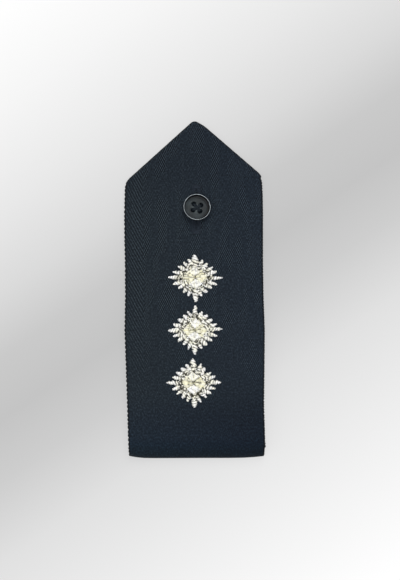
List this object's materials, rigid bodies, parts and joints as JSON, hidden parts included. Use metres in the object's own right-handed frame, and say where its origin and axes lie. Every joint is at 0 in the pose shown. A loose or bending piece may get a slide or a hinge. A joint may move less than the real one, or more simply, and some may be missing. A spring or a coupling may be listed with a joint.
{
  "type": "police shoulder insignia",
  "caption": "Dark woven shoulder strap insignia with a pointed head, a fold that forms a loop for the garment's strap, a buttoned buttonhole and embroidered star pips.",
  "frame": {"origin": "middle of the strap's outline, on the surface that it lies on", "axes": "+X across the strap, to the right seen from the front; +Y from the fold to the point; +Z out of the face"},
  "size_m": [0.0564, 0.1344, 0.0079],
  "materials": {
    "tape": "matt navy herringbone tape with firm selvedges",
    "buttonhole_stitching": "close navy stitching",
    "button": "dark moulded plastic, polished rim",
    "sewing_thread": "waxed navy sewing thread",
    "embroidery": "bright silver-white embroidery thread with a soft lustre"
  },
  "bodies": {
    "root": {"strap": "tape", "buttonhole_binding": "buttonhole_stitching", "button": "button", "button_thread": "sewing_thread", "pip_top": "embroidery", "pip_middle": "embroidery", "pip_bottom": "embroidery"}
  },
  "joints": []
}
